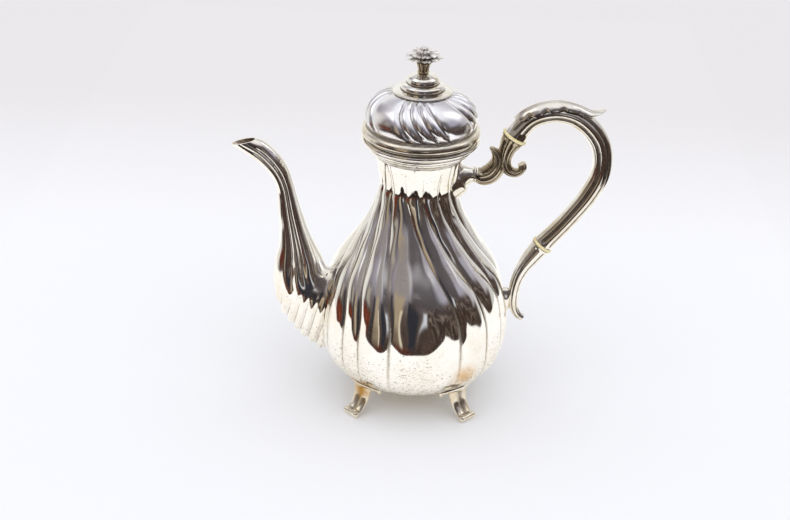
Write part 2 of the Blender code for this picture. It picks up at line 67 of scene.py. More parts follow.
def curve(table, position):
    """Smooth curve through the rows of a table, whose first column rises; returns the other columns."""
    rows = np.array(table, float)
    place = np.asarray(position, float)
    k = np.clip(np.searchsorted(rows[:, 0], place) - 1, 0, len(rows) - 2)
    before, here = rows[np.maximum(k - 1, 0)], rows[k]
    there, after = rows[k + 1], rows[np.minimum(k + 2, len(rows) - 1)]
    step = there[..., :1] - here[..., :1]
    t = (place[..., None] - here[..., :1]) / step
    start = (there - before) / (there[..., :1] - before[..., :1]) * step
    end = (after - here) / (after[..., :1] - here[..., :1]) * step
    values = (
        (2 * t**3 - 3 * t**2 + 1) * here + (t**3 - 2 * t**2 + t) * start
        + (3 * t**2 - 2 * t**3) * there + (t**3 - t**2) * end
    )
    return values[..., 1:]


def around(angle, radius, height):
    """Points on the pot from their angle (degrees from the front, towards the handle), radius, height."""
    turn = np.radians(angle)
    return np.stack(np.broadcast_arrays(radius * np.sin(turn), -radius * np.cos(turn), height), -1)


def surface(name, points, recess=0.0, ring=False, sharp=32):
    """A closed object through rows of points in millimetres, with its hollows marked for tarnish."""
    rows, count = points.shape[:2]
    corner = np.arange(rows * count).reshape(rows, count)
    low = corner if ring else corner[:-1]
    high = np.roll(corner, -1, 0) if ring else corner[1:]
    quads = np.stack([low, np.roll(low, -1, 1), np.roll(high, -1, 1), high], -1).reshape(-1, 4).tolist()
    vertices = (points.reshape(-1, 3) * MM).tolist()
    hollow = np.broadcast_to(recess, (rows, count)).ravel().tolist()
    if not ring:
        for edge, flip in ((corner[0], 1), (corner[-1], -1)):
            centre = len(vertices)
            vertices.append((points.reshape(-1, 3)[edge].mean(0) * MM).tolist())
            hollow.append(float(np.mean([hollow[i] for i in edge])))
            loop = edge[::-flip].tolist()
            quads += [(loop[i], loop[(i + 1) % count], centre) for i in range(count)]
    mesh = bpy.data.meshes.new(name)
    mesh.from_pydata(vertices, [], quads)
    mesh.attributes.new("recess", "FLOAT", "POINT").data.foreach_set("value", hollow)
    return closed(mesh, name, sharp)


def closed(mesh, name, sharp=32):
    """Points the faces of a mesh outwards, smooths it and links it as an object."""
    data = bmesh.new()
    data.from_mesh(mesh)
    bmesh.ops.recalc_face_normals(data, faces=data.faces)
    if data.calc_volume(signed=True) < 0:
        bmesh.ops.reverse_faces(data, faces=data.faces)
    data.to_mesh(mesh)
    data.free()
    mesh.shade_smooth()
    mesh.set_sharp_from_angle(angle=math.radians(sharp))
    made = bpy.data.objects.new(name, mesh)
    bpy.context.scene.collection.objects.link(made)
    return made


def fitted(made, material, body, slot, *nodes):
    """Gives a piece its finish and its body, and puts it in the place of CAD nodes; slot is not used."""
    made.data.materials.clear()
    made.data.materials.append(material)
    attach(made, body)
    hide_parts(*nodes)
    return made


def linear(code):
    """An sRGB hex colour as linear values."""
    parts = [int(code[i:i + 2], 16) / 255 for i in (1, 3, 5)]
    return (*(c / 12.92 if c <= 0.04045 else ((c + 0.055) / 1.055) ** 2.4 for c in parts), 1.0)


FIRST, SECOND, MIXED = 6, 7, 2  # the numbers of a Mix node's colour sockets


def add(tree, kind, settings={}, inputs={}):
    """Adds a node: settings are its properties, where "stops" holds a ramp's (place, hex colour) pairs,
    and inputs are its sockets by name or number, each a plain value or another node's output."""
    node = tree.nodes.new("ShaderNode" + kind)
    for key, value in settings.items():
        if key != "stops":
            setattr(node, key, value)
            continue
        while len(node.color_ramp.elements) < len(value):
            node.color_ramp.elements.new(0.5)
        for element, (place, colour) in zip(node.color_ramp.elements, value):
            element.position, element.color = place, linear(colour)
    for key, value in inputs.items():
        if isinstance(value, bpy.types.NodeSocket):
            tree.links.new(value, node.inputs[key])
        else:
            node.inputs[key].default_value = value
    return node


NICK_BROWN = "#514c45"
SCRATCH_STRENGTH, SCRATCH_DEPTH = 0.1, 0.00004
DULL_ROUGHNESS = 0.42


def silver(name, bright, film, tarnish, roughness, film_mm=30.0, dirt=0.8, pits=0.0, stain=None):
    """Old polished silver: bright metal under a thin uneven warm film, brown tarnish left in the
    hollows where a polishing cloth doesn't reach, dull freckles and hairline scratches. Pits are the
    short dark nicks of years of washing below the belly, and a stain is a (place, size, colour)."""
    material = bpy.data.materials.new(name)
    material.use_nodes = True
    tree = material.node_tree
    shader = tree.nodes["Principled BSDF"]
    shader.inputs["Metallic"].default_value = 1.0
    place = add(tree, "TexCoord").outputs["Object"]
    cloud = add(
        tree, "TexNoise", {}, {"Vector": place, "Scale": 1000 / film_mm, "Detail": 4.0, "Roughness": 0.6}
    )
    filmed = add(tree, "ValToRGB", {"stops": [(0.42, bright), (0.72, film)]}, {"Fac": cloud.outputs["Fac"]})
    recess = add(tree, "Attribute", {"attribute_name": "recess"}).outputs["Fac"]
    grain = add(
        tree, "TexNoise", {}, {"Vector": place, "Scale": 1000 / 2.5, "Detail": 3.0, "Roughness": 0.65}
    )
    uneven = add(tree, "Math", {"operation": "MULTIPLY_ADD"}, {0: grain.outputs["Fac"], 1: 0.6, 2: recess})
    dirty = add(
        tree, "MapRange", {}, {"Value": uneven.outputs[0], "From Min": 0.52, "From Max": 1.3, "To Max": dirt}
    ).outputs[0]
    colour = add(
        tree, "Mix", {"data_type": "RGBA"},
        {"Factor": dirty, FIRST: filmed.outputs["Color"], SECOND: linear(tarnish)},
    ).outputs[MIXED]
    if stain:
        offset = add(tree, "VectorMath", {"operation": "DISTANCE"}, {0: place, 1: [c * MM for c in stain[0]]})
        frayed = add(
            tree, "Math", {"operation": "MULTIPLY_ADD"},
            {0: cloud.outputs["Fac"], 1: stain[1] * 2.2 * MM, 2: offset.outputs[1]},
        )
        share = add(
            tree, "MapRange", {"interpolation_type": "SMOOTHSTEP"},
            {"Value": frayed.outputs[0], "From Min": stain[1] * 2.1 * MM, "From Max": stain[1] * 0.9 * MM},
        )
        colour = add(
            tree, "Mix", {"data_type": "RGBA"},
            {"Factor": share.outputs[0], FIRST: colour, SECOND: linear(stain[2])},
        ).outputs[MIXED]
    dull = dirty
    if pits:
        flat = add(tree, "Mapping", {}, {"Vector": place, "Scale": (1.0, 1.0, 2.6)})
        nicks = add(
            tree, "TexNoise", {},
            {"Vector": flat.outputs[0], "Scale": 1000 / 2.0, "Detail": 2.5, "Roughness": 0.7},
        )
        height = add(tree, "SeparateXYZ", {}, {"Vector": place})
        washed = add(
            tree, "MapRange", {"interpolation_type": "SMOOTHSTEP"},
            {"Value": height.outputs["Z"], "From Min": 78 * MM, "From Max": 22 * MM, "To Max": 0.1},
        )
        patchy = add(tree, "TexNoise", {}, {"Vector": place, "Scale": 1000 / 34, "Detail": 2.0})
        worn = add(
            tree, "Math", {"operation": "MULTIPLY_ADD"},
            {0: patchy.outputs["Fac"], 1: 0.16, 2: washed.outputs[0]},
        )
        deep = add(tree, "Math", {"operation": "ADD"}, {0: nicks.outputs["Fac"], 1: worn.outputs[0]})
        nicked = add(
            tree, "MapRange", {},
            {"Value": deep.outputs[0], "From Min": 0.735, "From Max": 0.78, "To Max": pits},
        )
        colour = add(
            tree, "Mix", {"data_type": "RGBA"},
            {"Factor": nicked.outputs[0], FIRST: colour, SECOND: linear(NICK_BROWN)},
        ).outputs[MIXED]
        dull = add(tree, "Math", {"operation": "MAXIMUM"}, {0: dirty, 1: nicked.outputs[0]}).outputs[0]
    rough = add(tree, "MapRange", {}, {"Value": dull, "To Min": roughness, "To Max": DULL_ROUGHNESS})
    drawn = add(tree, "Mapping", {}, {"Vector": place, "Scale": (1.0, 1.0, 7.0)})
    hair = add(
        tree, "TexNoise", {},
        {"Vector": drawn.outputs[0], "Scale": 1000 / 3.0, "Detail": 5.0, "Roughness": 0.75},
    )
    bump = add(
        tree, "Bump", {},
        {"Height": hair.outputs["Fac"], "Strength": SCRATCH_STRENGTH, "Distance": SCRATCH_DEPTH},
    )
    tree.links.new(colour, shader.inputs["Base Color"])
    tree.links.new(rough.outputs[0], shader.inputs["Roughness"])
    tree.links.new(bump.outputs[0], shader.inputs["Normal"])
    return material


def panel_edges(widths, start):
    return start + np.concatenate([[0.0], np.cumsum(widths)])


def columns(widths, steps_per_degree, least):
    """Where the mesh columns fall: the panel's number and the share of its width."""
    number, share = [], []
    for i, width in enumerate(widths):
        steps = max(int(width * steps_per_degree), least)
        number += [i] * steps
        share += [k / steps for k in range(steps)]
    return np.array(number), np.array(share)


def body_rows(heights, inset):
    """Rows of the fluted body at these heights, moved in by inset, and how deep in a groove each point is."""
    number, share = columns(PANEL_WIDTHS, 0.55, 12)
    belly, count = panel_edges(PANEL_WIDTHS, BELLY_START), len(PANEL_WIDTHS)
    neck = NECK_START + 360 * np.arange(count + 1) / count
    z = np.asarray(heights, float)[:, None]
    turn = np.sin(np.pi / 2 * np.clip((TWIST_TOP - z) / TWIST_HEIGHT, 0, 1))
    edges = neck + (belly - neck) * turn
    angle = edges[:, number] + (edges[:, number + 1] - edges[:, number]) * share
    across = np.abs(2 * share - 1)[None, :]
    depth = curve(FLUTE_DEPTH, z[:, 0])
    radius = curve(BODY_PROFILE, z[:, 0]) - depth * across**2.6 - BODY_SKIN - inset
    risen = np.clip((z - BODY_FOOT) / 12, 0, 1)
    for waves, lean, swell in HAMMERED:
        radius = radius + swell * np.sin(waves * np.radians(angle) + z / lean) * risen
    return around(angle, radius, z), across**30 * np.clip(depth / 2.2, 0, 1)


def lined(made, first, material):
    """Gives the faces from number first on a second finish, for the inside of a vessel."""
    made.data.materials.append(material)
    count = len(made.data.polygons)
    made.data.polygons.foreach_set("material_index", [int(i >= first) for i in range(count)])


heights = np.concatenate([np.linspace(BODY_FOOT, 60, 40), np.linspace(61.5, BODY_TOP, 110)])
outer, groove = body_rows(heights, 0.0)
inner, _ = body_rows(heights[::-3], BODY_WALL)
inner = np.concatenate([inner, body_rows([BODY_FOOT], BODY_WALL)[0]])

BRIGHT, FILM = "#fcfbf8", "#f1ece1"
STAIN = ((37.0, -50.0, 43.0), 15.0, "#d8b482")
# Bright and almost mirror-sharp, broken by short dark nicks low down and one rusty stain.
RAISED_SILVER = silver("raised_silver", BRIGHT, FILM, "#97886f", 0.055, dirt=0.75, pits=0.75, stain=STAIN)
body = surface(
    "coffee_pot_body", np.concatenate([outer, inner]), np.concatenate([groove, inner[..., 0] * 0]), ring=True
)
fitted(body, RAISED_SILVER, "pot", "raised_silver", "pot_body")
# Pinkish grey and blurred, with no clear reflection, as washing leaves the inside.
SCOURED_SILVER = silver("scoured_silver", "#d9cbbd", "#bda793", "#6f5540", 0.34, film_mm=9)
lined(body, (len(outer) - 1) * outer.shape[1], SCOURED_SILVER)


# ---- Base plate -------------------------------------------------------------------------------
# A shallow dish of sheet silver soldered into the bottom of the body, turned and left unpolished
# inside, so it is a little duller than the rest.

# A soft satin shine, yellower than the outside.
BASE_SILVER = silver("spun_silver", "#e4dfd2", "#cfc4ab", "#6f5d45", 0.2, film_mm=12)
for node in ("base_plate", "spout_strainer"):
    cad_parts[node].material_slots[0].material = BASE_SILVER


# ---- Mouth rim --------------------------------------------------------------------------------
# A turned moulding soldered round the mouth: a hollow that grows out of the neck, then two beads
# and the narrow seat that the lid's rim rests over. Polish stays brown in its quirks.


def filleted(outline, radius=0.35, steps=4):
    """The outline with its corners rounded, and how hollow each point is."""
    points, hollow = [], []
    count = len(outline)
    area = sum(a[0] * b[1] - b[0] * a[1] for a, b in zip(outline, outline[1:] + outline[:1]))
    for i, here in enumerate(outline):
        here = Vector(here)
        before, after = Vector(outline[i - 1]) - here, Vector(outline[(i + 1) % count]) - here
        reach = min(radius, before.length * 0.45, after.length * 0.45)
        start, end = here + before.normalized() * reach, here + after.normalized() * reach
        turn = (after.x * before.y - after.y * before.x) / (before.length * after.length)
        inward = max(-turn if area > 0 else turn, 0.0)
        for k in range(steps + 1):
            t = k / steps
            points.append(start * (1 - t) ** 2 + here * 2 * t * (1 - t) + end * t * t)
            hollow.append(min(inward * 1.6, 1.0))
    return points, hollow


def turned(name, outline, radius=0.35, segments=144):
    """A turned closed ring from an outline of (radius, height) with rounded corners."""
    points, hollow = filleted(outline, radius)
    angles = 360 * np.arange(segments) / segments
    rows = np.stack([around(angles, p.x, p.y) for p in points])
    return surface(name, rows, np.array(hollow)[:, None], ring=True, sharp=50)


MOUTH_RIM = [
    (28.6, 185.1), (30.3, 185.1), (30.7, 185.9), (31.6, 186.8), (32.0, 187.0), (32.2, 187.7), (33.4, 188.4),
    (34.6, 189.5), (35.0, 190.5), (35.5, 190.7), (36.3, 191.7), (36.4, 192.8), (36.9, 193.2), (37.2, 193.9),
    (38.6, 194.4), (39.6, 195.2), (39.9, 196.2), (39.6, 197.2), (34.5, 197.3), (34.5, 191.6),
]
# A clear shine on each bead, with brown lines left in the quirks between.
TURNED_SILVER = silver("turned_silver", BRIGHT, "#e9e0cf", "#6b563f", 0.12, film_mm=14, dirt=0.95)
fitted(turned("mouth_moulding", MOUTH_RIM), TURNED_SILVER, "pot", "turned_silver", "mouth_rim")


# ---- Spout ------------------------------------------------------------------------------------
# A swan-neck spout raised in two halves and soldered up the back and front. Its root swells into
# gadroons where it meets the belly, and two channels run up each side to a beaked lip.

SPOUT = [
    (-50.0, 62.0, 90.0, 34.0, 19.0), (-60.0, 64.0, 82.0, 34.0, 18.5), (-70.0, 69.5, 62.0, 28.0, 17.0),
    (-77.3, 78.5, 42.0, 24.0, 15.5), (-80.8, 89.0, 22.0, 20.0, 14.0), (-82.0, 101.0, 9.0, 16.7, 12.3),
    (-83.4, 113.0, 7.0, 12.7, 10.4), (-85.4, 125.0, 8.0, 9.9, 8.7), (-87.6, 137.0, 9.0, 8.2, 7.4),
    (-89.4, 148.5, 9.0, 6.8, 6.6), (-91.2, 157.5, 18.0, 6.1, 6.2), (-94.6, 166.5, 33.0, 6.6, 6.2),
    (-100.3, 174.8, 45.0, 7.1, 6.4), (-108.3, 182.3, 43.0, 7.3, 6.4), (-118.85, 188.4, 14.0, 8.9, 5.2),
]
SPOUT_WALL = 1.1
CHANNELS = [(76.0, 9.0), (107.0, 10.0)]
GADROONS = [-104.0, -97.0, -90.0, -83.5, -77.5, -70.4, -63.0, -55.0]


def numbered(rows):
    return [(i, *row) for i, row in enumerate(rows)]


def bell(distance, width):
    return np.exp(-(distance / width) ** 2)


def against_body(points, side, inset=1.4):
    """Moves points that lie inside the body out to its wall, towards the spout or the handle."""
    reach = curve(BODY_PROFILE, np.clip(points[..., 2], BODY_FOOT, BODY_TOP))[..., 0] - inset
    wall = np.sqrt(np.clip(reach**2 - points[..., 1] ** 2, 0, None))
    points[..., 0] = side * np.maximum(side * points[..., 0], wall)
    return points


def spout_rows(places, inset):
    x, z, lean, depth, width = (c[:, None] for c in curve(numbered(SPOUT), places).T)
    t = np.radians(np.arange(0, 360, 1.8))
    off = np.abs(np.degrees(np.arctan2(np.sin(t), np.cos(t))))
    lean = np.radians(lean)
    out = depth * np.cos(t)
    wide_x, wide_z = x + np.cos(lean) * out, z + np.sin(lean) * out
    share = np.clip((places[:, None] - 3.0) / 2.0, 0, 1)
    fade = np.clip((14.2 - places[:, None]) / 1.2, 0, 1)
    channel = sum(bell(off - c, w) for c, w in CHANNELS) * share * fade
    slant = np.clip(wide_x - 0.27 * (wide_z - 60), GADROONS[0], GADROONS[-1] - 0.01)
    lobe = np.clip(np.searchsorted(GADROONS, slant) - 1, 0, len(GADROONS) - 2)
    start, end = np.array(GADROONS)[lobe], np.array(GADROONS)[lobe + 1]
    across = np.abs(2 * (slant - start) / (end - start) - 1)
    low = np.clip((82 - wide_z) / 16, 0, 1) * np.clip((off - 40) / 25, 0, 1)
    factor = 1 - 0.18 * channel - 0.075 * low * np.sin(np.pi / 2 * across) ** 2.4
    out = (depth - inset) * np.cos(t) * factor
    side = (width - inset) * np.sin(t) * factor
    points = np.stack([x + np.cos(lean) * out, side, z + np.sin(lean) * out], -1)
    return against_body(points, -1.0), np.clip(channel**3 * 0.6 + low * across**7 * 0.95, 0, 1)


steps = np.concatenate([np.linspace(0, 4.5, 150), np.linspace(4.53, len(SPOUT) - 1, 110)])
outer, groove = spout_rows(steps, 0.0)
inner, _ = spout_rows(steps[::-3], SPOUT_WALL)
# As bright as the body, a little softer, with browner channels.
SPOUT_SILVER = silver("spout_silver", BRIGHT, "#eee6d6", "#6a5740", 0.08, dirt=0.8, pits=0.8)
spout = surface(
    "swan_neck_spout", np.concatenate([outer, inner]), np.concatenate([groove, inner[..., 0] * 0]), ring=True
)
fitted(spout, SPOUT_SILVER, "pot", "raised_silver", "spout")
lined(spout, len(outer) * outer.shape[1], SCOURED_SILVER)


# ---- Handle -----------------------------------------------------------------------------------
# A cast scroll handle in three pieces of reeded bar. Two insulating rings part them, so that the
# grip stays cool, and each joint is held by cross pins. A flared socket joins it to the neck.

SOCKET = [
    (22.0, 166.5, 16.0, 13.0), (27.0, 168.0, 12.0, 10.0), (30.0, 169.4, 8.6, 7.6), (34.0, 170.3, 5.8, 5.4),
    (36.6, 170.5, 5.0, 4.9), (37.3, 170.55, 5.9, 5.7), (38.2, 170.6, 5.9, 5.7), (38.9, 170.6, 4.9, 4.8),
]
UPPER_SCROLL = [
    (61.97, 198.25, 8.2, 7.5), (60.2, 194.9, 7.2, 6.6), (58.3, 190.2, 5.8, 5.8), (57.2, 184.6, 4.8, 5.3),
    (57.7, 179.2, 4.2, 4.9), (60.2, 175.2, 3.7, 4.6), (64.4, 173.5, 3.1, 4.3), (68.0, 174.8, 2.7, 4.0),
    (69.6, 177.8, 2.9, 3.8), (68.6, 180.2, 2.6, 3.2),
]
SCROLL_BRANCH = [
    (39.2, 170.6, 5.2, 5.0), (43.6, 170.2, 6.6, 5.7), (48.2, 172.3, 6.9, 6.0), (51.6, 176.8, 6.5, 5.7),
    (52.8, 181.9, 5.4, 5.0), (51.6, 186.4, 3.7, 4.0), (49.2, 189.5, 2.2, 2.8), (46.8, 191.2, 0.9, 1.2),
]
GRIP = [
    (63.43, 200.75, 8.0, 7.4), (66.7, 206.0, 7.2, 6.8), (72.5, 212.2, 6.8, 6.4), (80.5, 216.2, 6.7, 6.3),
    (90.3, 217.8, 6.8, 6.3), (99.8, 216.2, 6.8, 6.3), (108.0, 211.8, 6.8, 6.3), (115.5, 204.4, 6.8, 6.3),
    (120.6, 195.5, 6.7, 6.2), (122.7, 184.5, 6.6, 6.2), (121.3, 172.0, 6.7, 6.2), (115.3, 158.5, 6.6, 6.1),
    (106.5, 145.0, 6.3, 6.0), (97.2, 132.5, 6.3, 6.0), (91.0, 125.0, 6.7, 6.2), (88.06, 121.27, 7.2, 6.6),
]
LOWER_SCROLL = [
    (86.34, 118.93, 7.2, 6.6), (84.2, 115.9, 6.9, 6.3), (80.2, 110.0, 6.3, 5.8), (75.6, 102.5, 5.2, 5.2),
    (72.2, 94.0, 4.4, 4.6), (70.5, 86.0, 3.9, 4.2), (70.0, 78.0, 3.6, 3.9), (70.8, 70.5, 3.3, 3.6),
    (73.6, 64.6, 2.9, 3.2), (77.4, 61.8, 2.5, 2.8),
]
UPPER_RING = ((62.70, 199.50), (0.505, 0.863), 8.9, 8.2)
LOWER_RING = ((87.20, 120.10), (0.589, 0.808), 7.7, 7.2)
RING_THICKNESS = 2.3
GAP = 0.3


def swept(rows, per_row=8, reeds=(), depth=0.13, sides=72, fade=0.0):
    """Rows of points along a smooth line in the XZ plane. Reeds are (angle from the outer side, width)
    of grooves down each flank; the second result says how deep in one each point lies."""
    table, last = numbered(rows), len(rows) - 1
    places = np.linspace(0, last, last * per_row + 1)
    x, z, half_depth, half_width = (c[:, None] for c in curve(table, places).T)
    ahead = curve(table, np.minimum(places + 0.02, last))[:, :2]
    behind = curve(table, np.maximum(places - 0.02, 0))[:, :2]
    along = (ahead - behind) / np.linalg.norm(ahead - behind, axis=1)[:, None]
    t = np.radians(np.arange(sides) * 360 / sides)
    off = np.abs(np.degrees(np.arctan2(np.sin(t), np.cos(t))))
    ends = np.clip(np.minimum(places, last - places)[:, None] / fade, 0, 1) if fade else 1.0
    groove = sum((bell(off - a, w) for a, w in reeds), off * 0) * (places[:, None] * 0 + 1) * ends
    out = half_depth * np.cos(t) * (1 - depth * groove)
    side = half_width * np.sin(t) * (1 - depth * groove)
    points = np.stack([x - along[:, 1:] * out, side + x * 0, z + along[:, :1] * out], -1)
    return points, np.clip(groove**1.5, 0, 1)


def square_end(points, index, ring, side):
    """Puts an end row exactly on the plane of its insulating ring, a gap away from it."""
    centre, axis = (np.array([ring[i][0], 0.0, ring[i][1]]) for i in (0, 1))
    plane = centre + axis * side * (RING_THICKNESS / 2 + GAP)
    points[index] -= ((points[index] - plane) @ axis)[:, None] * axis
    return points


def joined(name, parts):
    """Several closed meshes as one object."""
    with bpy.context.temp_override(active_object=parts[0], selected_editable_objects=parts):
        bpy.ops.object.join()
    parts[0].name = name
    return parts[0]


# Creamy highlights over dark reeds, which makes the handle look heavier than the sheet.
CAST_SILVER = silver("cast_silver", "#f6f3ec", "#ddd2bd", "#4b3c2d", 0.12, film_mm=16, dirt=0.9)
REEDS = [(56.0, 12.0), (112.0, 13.0)]
socket, _ = swept(SOCKET, 6)
socket = surface("handle_socket", against_body(socket, 1.0))
fitted(socket, CAST_SILVER, "pot", "cast_silver", "upper_handle_socket")

scroll, groove = swept(UPPER_SCROLL, 8, [(52.0, 10.0), (92.0, 10.0), (132.0, 10.0)], 0.15, fade=0.8)
branch, branch_groove = swept(SCROLL_BRANCH, 8, [(50.0, 10.0), (90.0, 10.0), (130.0, 10.0)], 0.14, fade=0.8)
upper = [
    surface("scroll_stem", square_end(scroll, 0, UPPER_RING, -1), groove),
    surface("scroll_branch", branch, branch_groove),
]
# Brown and dim all over, since a cloth hardly reaches into the scroll.
SCROLL_SILVER = silver("tarnished_silver", "#cfc4ae", "#a3927a", "#33291f", 0.16, film_mm=16)
fitted(joined("upper_scroll", upper), SCROLL_SILVER, "pot", "cast_silver", "upper_handle_scroll")

grip, groove = swept(GRIP, 10, REEDS, 0.13, fade=0.7)
grip = square_end(square_end(grip, 0, UPPER_RING, 1), -1, LOWER_RING, 1)
fitted(surface("reeded_grip", grip, groove), CAST_SILVER, "pot", "cast_silver", "handle_grip")

lower, groove = swept(LOWER_SCROLL, 8, REEDS, 0.12, fade=0.7)
lower = square_end(lower, 0, LOWER_RING, -1)
fitted(surface("lower_scroll", lower, groove), CAST_SILVER, "pot", "cast_silver", "lower_handle_scroll")
SEAT = [(58.0, 76.0, 9.4, 4.6), (64.8, 76.0, 9.2, 4.5), (66.6, 76.0, 8.6, 4.1), (67.5, 76.0, 7.0, 3.0)]
plate, _ = swept(SEAT, 8)
plate = surface("lower_handle_seat", against_body(plate, 1.0))
fitted(plate, CAST_SILVER, "pot", "cast_silver", "lower_handle_plate")
for node in ("upper_ring_lower_pin", "upper_ring_upper_pin", "lower_ring_lower_pin", "lower_ring_upper_pin"):
    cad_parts[node].material_slots[0].material = TURNED_SILVER


# ---- Leaf on the grip -------------------------------------------------------------------------
# A cast leaf laid over the top of the grip and soldered down. Its edges fall in lobes over the
# reeds and its tip lifts clear as a thumb rest. Tarnish darkens the veins and the edge.

LEAF_STATIONS = [
    (1.3, 0.3, 30), (1.8, 0.4, 62), (2.6, 0.5, 80), (3.6, 0.5, 74), (4.6, 0.5, 62), (5.3, 0.6, 54),
    (5.8, 1.3, 44), (6.1, 3.4, 30), (6.28, 6.2, 17), (6.36, 8.4, 7),
]
LEAF_THICKNESS = 1.3


def leaf_rows():
    places = np.linspace(LEAF_STATIONS[0][0], LEAF_STATIONS[-1][0], 150)
    lift, half_angle = (c[:, None] for c in curve(LEAF_STATIONS, places).T)
    x, z, depth, width = (c[:, None] for c in curve(numbered(GRIP), places).T)
    ahead, behind = curve(numbered(GRIP), places + 0.02)[:, :2], curve(numbered(GRIP), places - 0.02)[:, :2]
    along = (ahead - behind) / np.linalg.norm(ahead - behind, axis=1)[:, None]
    lobed = np.clip((places[:, None] - 1.7) / 0.4, 0, 1) * np.clip((5.5 - places[:, None]) / 0.5, 0, 1)
    lobes = 1 - 0.2 * np.abs(np.cos(np.pi * (places[:, None] - 2.2) / 1.05)) ** 6 * lobed
    across = np.linspace(-1, 1, 49)
    veins = np.abs(np.cos(np.pi * ((places[:, None] - 2.2) / 1.05 + (1 - np.abs(across)) * 0.5))) ** 6 * lobed
    relief = 0.3 * bell(across, 0.1) - 0.35 * veins * np.clip(np.abs(across) * 2.4 - 1.0, 0, 1)
    top = lift + LEAF_THICKNESS * (1 - 0.55 * np.abs(across) ** 6) + relief - 0.1
    rows, hollow = [], []
    under = lift + across * 0 + 0.02
    for offset, order, dark in ((top, across, veins * 0.8), (under, across[::-1], veins * 0)):
        t = np.radians(half_angle * lobes) * order
        shell = offset if order is across else offset[:, ::-1]
        out = (depth + shell) * np.cos(t)
        side = (width + shell) * np.sin(t)
        rows.append(np.stack([x - along[:, 1:] * out, side, z + along[:, :1] * out], -1))
        hollow.append(np.clip(dark * np.abs(order) ** 3, 0, 1) if order is across else dark)
    return np.concatenate(rows, 1), np.concatenate(hollow, 1)


points, hollow = leaf_rows()
fitted(surface("acanthus_leaf", points, hollow, sharp=60), CAST_SILVER, "pot", "cast_silver", "handle_leaf")


# ---- Insulating rings -------------------------------------------------------------------------
# Two discs of bone or ivory with a rounded edge, turned and rubbed smooth. Old bone is cream with
# faint grain along its length, a satin surface and a little light below it.


def bone():
    material = bpy.data.materials.new("turned_bone")
    material.use_nodes = True
    tree = material.node_tree
    shader = tree.nodes["Principled BSDF"]
    shader.inputs["IOR"].default_value = 1.54
    shader.inputs["Subsurface Weight"].default_value = 0.15
    shader.inputs["Subsurface Radius"].default_value = (0.004, 0.003, 0.002)
    place = add(tree, "TexCoord").outputs["Object"]
    stretched = add(tree, "Mapping", {}, {"Vector": place, "Scale": (1.0, 0.25, 1.0)})
    grain = add(tree, "TexNoise", {}, {"Vector": stretched.outputs[0], "Scale": 1000 / 1.2, "Detail": 4.0})
    creams = [(0.3, "#e2d49c"), (0.6, "#f1e8bd")]
    colour = add(tree, "ValToRGB", {"stops": creams}, {"Fac": grain.outputs["Fac"]})
    rough = add(tree, "MapRange", {}, {"Value": grain.outputs["Fac"], "To Min": 0.28, "To Max": 0.5})
    bump = add(tree, "Bump", {}, {"Height": grain.outputs["Fac"], "Strength": 0.15, "Distance": 0.0001})
    tree.links.new(colour.outputs["Color"], shader.inputs["Base Color"])
    tree.links.new(rough.outputs[0], shader.inputs["Roughness"])
    tree.links.new(bump.outputs[0], shader.inputs["Normal"])
    return material


# Cream with faint streaks, satin, with soft light under its surface.
BONE = bone()
RING_EDGE = [
    (-1.15, 0.84), (-1.08, 0.92), (-0.8, 0.975), (-0.4, 1.0), (0.0, 1.005),
    (0.4, 1.0), (0.8, 0.975), (1.08, 0.92), (1.15, 0.84),
]


def ring_rows(ring):
    centre, axis = (np.array([ring[i][0], 0.0, ring[i][1]]) for i in (0, 1))
    out = np.array([-axis[2], 0.0, axis[0]])
    t = np.radians(np.arange(64) * 360 / 64)
    tenon = 2.9 / ring[2]
    stations = [(-6.6, tenon), (-1.15, tenon), *RING_EDGE, (1.15, tenon), (6.6, tenon)]
    rows = []
    for along, scale in stations:
        side = np.array([0.0, 1.0, 0.0]) * np.sin(t)[:, None] * ring[3] * scale
        rows.append(centre + axis * along + out * np.cos(t)[:, None] * ring[2] * scale + side)
    return np.stack(rows)


for name, ring in (("upper", UPPER_RING), ("lower", LOWER_RING)):
    fitted(surface(name + "_bone_ring", ring_rows(ring), sharp=50), BONE, "pot", "ivory", name + "_insulator")


# ---- Feet -------------------------------------------------------------------------------------
# Four cast feet soldered under the belly: a cupped leg with raised edges, which ends in a rolled
# toe, under a pair of thin wings that spread along the belly and end in small balls.

LEG = [
    (46.5, 27.0, 3.4, 8.6), (47.2, 20.0, 3.3, 8.3), (48.0, 14.0, 2.9, 7.4), (50.6, 8.4, 2.6, 6.6),
    (54.4, 4.2, 2.7, 6.4), (58.2, 2.7, 2.7, 6.6),
]
WING_SPAN = 17.5
WING_RADIUS = 48.0
FOOT_ANGLES = {
    "foot_front_left": -45.0, "foot_front_right": 45.0, "foot_rear_right": 135.0, "foot_rear_left": 225.0,
}


def belly_height(radius):
    """The height at which the underside of the belly has this radius."""
    z = np.linspace(BODY_FOOT, 55, 400)
    return np.interp(radius, curve(BODY_PROFILE, z)[:, 0], z)


